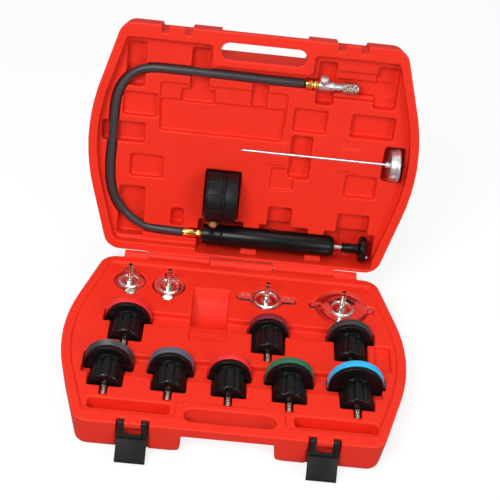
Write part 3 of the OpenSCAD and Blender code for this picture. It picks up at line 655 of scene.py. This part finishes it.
def ridged(name, group_name, centre, **finish):
    """A metal with ridges from a group, centred on a piece's axis."""
    tree = moulded(name, **finish).node_tree
    where = next(node for node in tree.nodes if node.type == "TEX_COORD")
    grain = next(node for node in tree.nodes if node.type == "BUMP")
    centring = tree.nodes.new("ShaderNodeMapping")
    centring.inputs["Location"].default_value = -Vector(centre)
    tree.links.new(where.outputs["Object"], centring.inputs["Vector"])
    ridges = placed_group(tree, group_name)
    tree.links.new(centring.outputs["Vector"], ridges.inputs["Vector"])
    relief = tree.nodes.new("ShaderNodeBump")
    relief.inputs["Distance"].default_value = RIDGE_DEPTH
    tree.links.new(ridges.outputs["Height"], relief.inputs["Height"])
    tree.links.new(grain.outputs["Normal"], relief.inputs["Normal"])
    tree.links.new(relief.outputs["Normal"], tree.nodes["Principled BSDF"].inputs["Normal"])


def marked(name, painted_light_colour, **finish):
    """A metal whose marked faces get a colour of painted light: a painted shade in bores, a painted
    highlight on cap rims.
    """
    tree = moulded(name, **finish).node_tree
    base = tree.nodes["Principled BSDF"].inputs["Base Color"]
    reader = tree.nodes.new("ShaderNodeAttribute")
    reader.attribute_name = PAINTED_LIGHT_MARK
    plain = base.links[0].from_socket
    tree.links.new(mixed(tree, reader.outputs["Fac"], plain, (*painted_light_colour, 1)), base)


def glass(name):
    """Clear window of a dial."""
    shader = new_material(name)[2]
    shader.inputs["Base Color"].default_value = (0.97, 0.98, 1.0, 1)
    shader.inputs["Roughness"].default_value = 0.03
    shader.inputs["Transmission Weight"].default_value = 1.0
    shader.inputs["IOR"].default_value = 1.3


def make_materials():
    case = bpy.context.scene.kit_case
    fitting = bpy.context.scene.kit_fitting
    steel = {"colour": (0.60, 0.55, 0.46), "roughness": 0.10, "bump": 0.000006,
             "patch_scale": 260, "drift": 0.5, "metallic": 1.0}
    brass = {"colour": tuple(fitting.brass), "roughness": 0.2, "bump": 0.00001,
             "patch_scale": 120, "drift": 0.25, "rough_drift": 0.2, "metallic": 1.0}
    moulded("case_plastic", tuple(case.red), roughness=0.46, bump=case.grain, grain_scale=650,
            drift=0.10, specular=0.22, rubbed=((0.90, 0.06, 0.03), 0.4))
    moulded("black_moulding", tuple(fitting.black), roughness=0.30, bump=0.00002,
            grain_scale=1500, specular=0.24)
    moulded("latch_plastic", (0.008, 0.008, 0.0085), roughness=0.42, bump=0.00003,
            grain_scale=1800, specular=0.25)
    moulded("rubber", (0.005, 0.005, 0.0052), roughness=0.46, bump=0.00004,
            grain_scale=1200, specular=0.24)
    moulded("hose_rubber", (0.0028, 0.0027, 0.0029), roughness=0.40, bump=0.00003,
            grain_scale=1600, specular=0.13)
    moulded("brass", **brass)
    ridged("brass_crimped", "crimped_lines", (0, *middle("hose_ferrules")[1:]), **brass)
    moulded("steel", **steel)
    # steel whose marked bore faces get a painted shade
    marked("steel_painted_bore_shade", BORE_SHADE_COLOUR, **steel)
    ridged("steel_knurled", "knurled_ridges", middle("coupler_sleeve"), **steel)
    # chrome darkened as a painted shade, with a bright painted highlight on the marked rims and sides
    marked("chrome", (0.95, 0.94, 0.92), colour=(0.27, 0.26, 0.25), roughness=0.05,
           bump=0.000003, grain_scale=300, patch_scale=60, drift=0.06, rough_drift=0.05,
           metallic=1.0)
    moulded("dial_face", (0.88, 0.88, 0.86), roughness=0.5, bump=0.00001, grain_scale=2000,
            drift=0.03)
    moulded("dial_print", (0.01, 0.01, 0.01), roughness=0.5, bump=0.00001, grain_scale=2000)
    for name, colour in RING_PAINTS.items():
        moulded(name, colour, roughness=0.45, bump=0.00002, grain_scale=1200, specular=0.09)
    glass("dial_window")


# ---------------------------------------------------------------- stage

def floor_paint(stage):
    material, tree, shader = new_material("floor_paint")
    shader.inputs["Base Color"].default_value = FLOOR_COLOUR
    shader.inputs["Roughness"].default_value = FLOOR_ROUGHNESS
    shader.inputs["Specular IOR Level"].default_value = FLOOR_SPECULAR
    shader.inputs["Emission Color"].default_value = (1, 1, 1, 1)
    # painted shadow: the floor's glow fades out in a patch under the case
    painted_shadow_place = tree.nodes.new("ShaderNodeMapping")
    painted_shadow_place.vector_type = "TEXTURE"
    painted_shadow_place.inputs["Location"].default_value = SHADE_PLACE
    painted_shadow_place.inputs["Scale"].default_value = SHADE_SIZE
    where = tree.nodes.new("ShaderNodeTexCoord")
    tree.links.new(where.outputs["Object"], painted_shadow_place.inputs["Vector"])
    patch = tree.nodes.new("ShaderNodeTexGradient")
    patch.gradient_type = "SPHERICAL"
    tree.links.new(painted_shadow_place.outputs["Vector"], patch.inputs["Vector"])
    seen = tree.nodes.new("ShaderNodeLightPath").outputs["Is Camera Ray"]
    glow_with_painted_shadow = maths(tree, "MULTIPLY", spread(tree, patch.outputs["Fac"], 0, SHADE_FADE, 1, 0),
                 spread(tree, seen, 0, 1, stage.floor_glow, FLOOR_SEEN))
    tree.links.new(glow_with_painted_shadow, shader.inputs["Emission Strength"])
    return material


def add_floor(stage):
    """A wide floor just under the case."""
    bpy.ops.mesh.primitive_plane_add(size=FLOOR_SIZE, location=(0, 0, -FLOOR_GAP))
    floor = bpy.context.object
    floor.name = "floor"
    floor.data.materials.append(floor_paint(stage))


def view_axes(stage):
    """Right, up and forward of the camera."""
    azimuth = math.radians(stage.azimuth)
    elevation = math.radians(stage.elevation)
    roll = math.radians(stage.roll)
    forward = Vector((math.sin(azimuth) * math.cos(elevation),
                      math.cos(azimuth) * math.cos(elevation), -math.sin(elevation)))
    level = Vector((math.cos(azimuth), -math.sin(azimuth), 0))
    upright = level.cross(forward)
    right = level * math.cos(roll) + upright * math.sin(roll)
    return right, right.cross(forward), forward


def add_camera(stage):
    """The camera, which looks at a place over the hinge."""
    target = Vector((TARGET_X, HINGE.y, HINGE.z + TARGET_RISE))
    right, up, forward = view_axes(stage)
    bpy.ops.object.camera_add()
    camera = bpy.context.object
    camera.name = "photo_camera"
    turn = Matrix((right, up, -forward)).transposed()
    camera.matrix_world = Matrix.Translation(target - forward * stage.distance) @ turn.to_4x4()
    camera.data.sensor_width = SENSOR
    camera.data.lens = stage.lens
    bpy.context.scene.camera = camera


def add_lamps(stage):
    for name, place, size, share in LAMPS:
        bpy.ops.object.light_add(type="AREA", location=place)
        lamp = bpy.context.object
        lamp.name = name
        lamp.data.shape = "DISK"
        lamp.data.size = size
        lamp.data.energy = stage.light * share
        aim = Vector(LAMP_TARGET) - Vector(place)
        lamp.rotation_euler = aim.to_track_quat("-Z", "Y").to_euler()


def add_world(stage):
    """White light from all round, brighter from above."""
    world = bpy.data.worlds.new("studio")
    bpy.context.scene.world = world
    world.use_nodes = True
    tree = world.node_tree
    background = tree.nodes["Background"]
    background.inputs["Color"].default_value = (1, 1, 1, 1)
    height = tree.nodes.new("ShaderNodeSeparateXYZ")
    where = tree.nodes.new("ShaderNodeTexCoord")
    tree.links.new(where.outputs["Generated"], height.inputs[0])
    low, high = (stage.surround * share for share in SKY_SHARES)
    strength = spread(tree, height.outputs["Z"], *SKY_HEIGHTS, low, high)
    tree.links.new(strength, background.inputs["Strength"])


# ---------------------------------------------------------------- operators

class KIT_OT_stage(bpy.types.Operator):
    """Floor, lights and camera"""
    bl_idname = "kit.stage"
    bl_label = "Stage"

    def execute(self, context):
        stage = context.scene.kit_stage
        deselect_all()
        add_floor(stage)
        add_camera(stage)
        add_lamps(stage)
        add_world(stage)
        context.scene.view_settings.view_transform = "Standard"
        return {"FINISHED"}


class KIT_OT_case(bpy.types.Operator):
    """Moulded halves of the case with rounded edges, and their pin"""
    bl_idname = "kit.case"
    bl_label = "Case"

    def execute(self, context):
        voxel = context.scene.kit_case.voxel
        blown("case_base", voxel)
        blown("case_lid", voxel, corner_bead(BEAD_PLACE, BEAD_LENGTH, BEAD_LEG))
        paint("hinge_pin", "steel")
        return {"FINISHED"}


class KIT_OT_latches(bpy.types.Operator):
    """Black latches on the front of the base"""
    bl_idname = "kit.latches"
    bl_label = "Latches"

    def execute(self, context):
        for side in ("left", "right"):
            rounded("latch_" + side, context.scene.kit_case.latch_edge, "latch_plastic")
        return {"FINISHED"}


class KIT_OT_adapters(bpy.types.Operator):
    """Radiator adapters: fluted knobs, coloured rings and nipples"""
    bl_idname = "kit.adapters"
    bl_label = "Adapters"

    def execute(self, context):
        edge = context.scene.kit_fitting.edge
        for letter, ring in ADAPTER_RINGS.items():
            rounded(f"adapter_{letter}_knob", edge * SOFT_EDGE, "black_moulding", segments=3)
            rounded(f"adapter_{letter}_ring", edge * FINE_EDGE, ring)
            bored(f"adapter_{letter}_nipple", edge, along=1)
        return {"FINISHED"}


class KIT_OT_caps(bpy.types.Operator):
    """Vented cap plates with their nipples"""
    bl_idname = "kit.caps"
    bl_label = "Caps"

    def execute(self, context):
        settings = context.scene.kit_fitting
        for number in CAPS:
            rolled_plate(f"cap_{number}_plate", settings.rolled_rim, settings.edge)
            bored(f"cap_{number}_nipple", settings.edge, along=2)
        return {"FINISHED"}


class KIT_OT_pump(bpy.types.Operator):
    """Hand pump: barrel, ends, piston and handle"""
    bl_idname = "kit.pump"
    bl_label = "Pump"

    def execute(self, context):
        for node in ("pump_barrel", "pump_head", "pump_end_cap", "pump_handle"):
            rounded(node, context.scene.kit_fitting.edge, "black_moulding")
        paint("piston_rod", "steel")
        paint("piston", "rubber")
        return {"FINISHED"}


class KIT_OT_gauge(bpy.types.Operator):
    """Pressure gauge in its rubber boot"""
    bl_idname = "kit.gauge"
    bl_label = "Gauge"

    def execute(self, context):
        edge = context.scene.kit_fitting.edge
        rounded("gauge_stem", edge, "brass")
        rounded("gauge_boot", edge * SOFT_EDGE, "rubber")
        rounded("gauge_case", edge, "rubber")
        paint("gauge_dial", "dial_face")
        paint("gauge_pointer", "dial_print")
        paint("gauge_lens", "dial_window")
        centre, radius = dial_of("gauge_dial")
        up = (centre - middle("pump_head")).normalized()
        up = Vector((0, up.y, up.z)).normalized()
        dial_marks("gauge_marks", centre, up, radius, GAUGE_SCALE, "pump")
        return {"FINISHED"}


class KIT_OT_hose(bpy.types.Operator):
    """Hose, ferrules, valve block and coupler"""
    bl_idname = "kit.hose"
    bl_label = "Hose"

    def execute(self, context):
        settings = context.scene.kit_fitting
        crimped_ferrules("hose_ferrules", settings.edge, settings.crimp)
        smooth_hose("hose")
        for node in ("valve_block", "release_valve", "coupler_body"):
            rounded(node, settings.edge * FINE_EDGE, "steel")
        rounded("coupler_sleeve", settings.edge * FINE_EDGE, "steel_knurled")
        return {"FINISHED"}


class KIT_OT_thermometer(bpy.types.Operator):
    """Dial thermometer with its long stem"""
    bl_idname = "kit.thermometer"
    bl_label = "Thermometer"

    def execute(self, context):
        edge = context.scene.kit_fitting.edge
        rounded("thermometer_head", edge, "steel")
        rounded("thermometer_stem", edge * STEM_EDGE, "steel")
        paint("thermometer_dial", "dial_face")
        paint("thermometer_pointer", "dial_print")
        paint("thermometer_lens", "dial_window")
        centre, radius = dial_of("thermometer_dial")
        up = LID_PLACE.to_3x3() @ Vector((0, 1, 0))
        dial_marks("thermometer_marks", centre, up, radius, THERMOMETER_SCALE, "thermometer")
        return {"FINISHED"}


class KIT_PT_panel(bpy.types.Panel):
    bl_label = "Pressure test kit"
    bl_idname = "KIT_PT_panel"
    bl_space_type = "VIEW_3D"
    bl_region_type = "UI"
    bl_category = "Test Kit"

    def draw(self, context):
        for settings in SETTINGS:
            group = getattr(context.scene, settings)
            box = self.layout.box()
            for name in group.__annotations__:
                box.prop(group, name)
        for operator in OPERATORS:
            self.layout.operator(operator.bl_idname)


SETTINGS = {"kit_case": CaseSettings, "kit_fitting": FittingSettings, "kit_stage": StageSettings}
OPERATORS = (KIT_OT_stage, KIT_OT_case, KIT_OT_latches, KIT_OT_adapters, KIT_OT_caps, KIT_OT_pump,
             KIT_OT_gauge, KIT_OT_hose, KIT_OT_thermometer)


def register():
    """Registers the settings, operators and panel."""
    for name, settings in SETTINGS.items():
        bpy.utils.register_class(settings)
        setattr(bpy.types.Scene, name, bpy.props.PointerProperty(type=settings))
    for cls in OPERATORS + (KIT_PT_panel,):
        bpy.utils.register_class(cls)


def unregister():
    """Removes what register added."""
    for cls in reversed(OPERATORS + (KIT_PT_panel,)):
        bpy.utils.unregister_class(cls)
    for name, settings in SETTINGS.items():
        delattr(bpy.types.Scene, name)
        bpy.utils.unregister_class(settings)


def main():
    """Builds the whole finish."""
    register()
    make_materials()
    for operator in OPERATORS:
        group, name = operator.bl_idname.split(".")
        getattr(getattr(bpy.ops, group), name)()


if __name__ == "__main__":
    main()
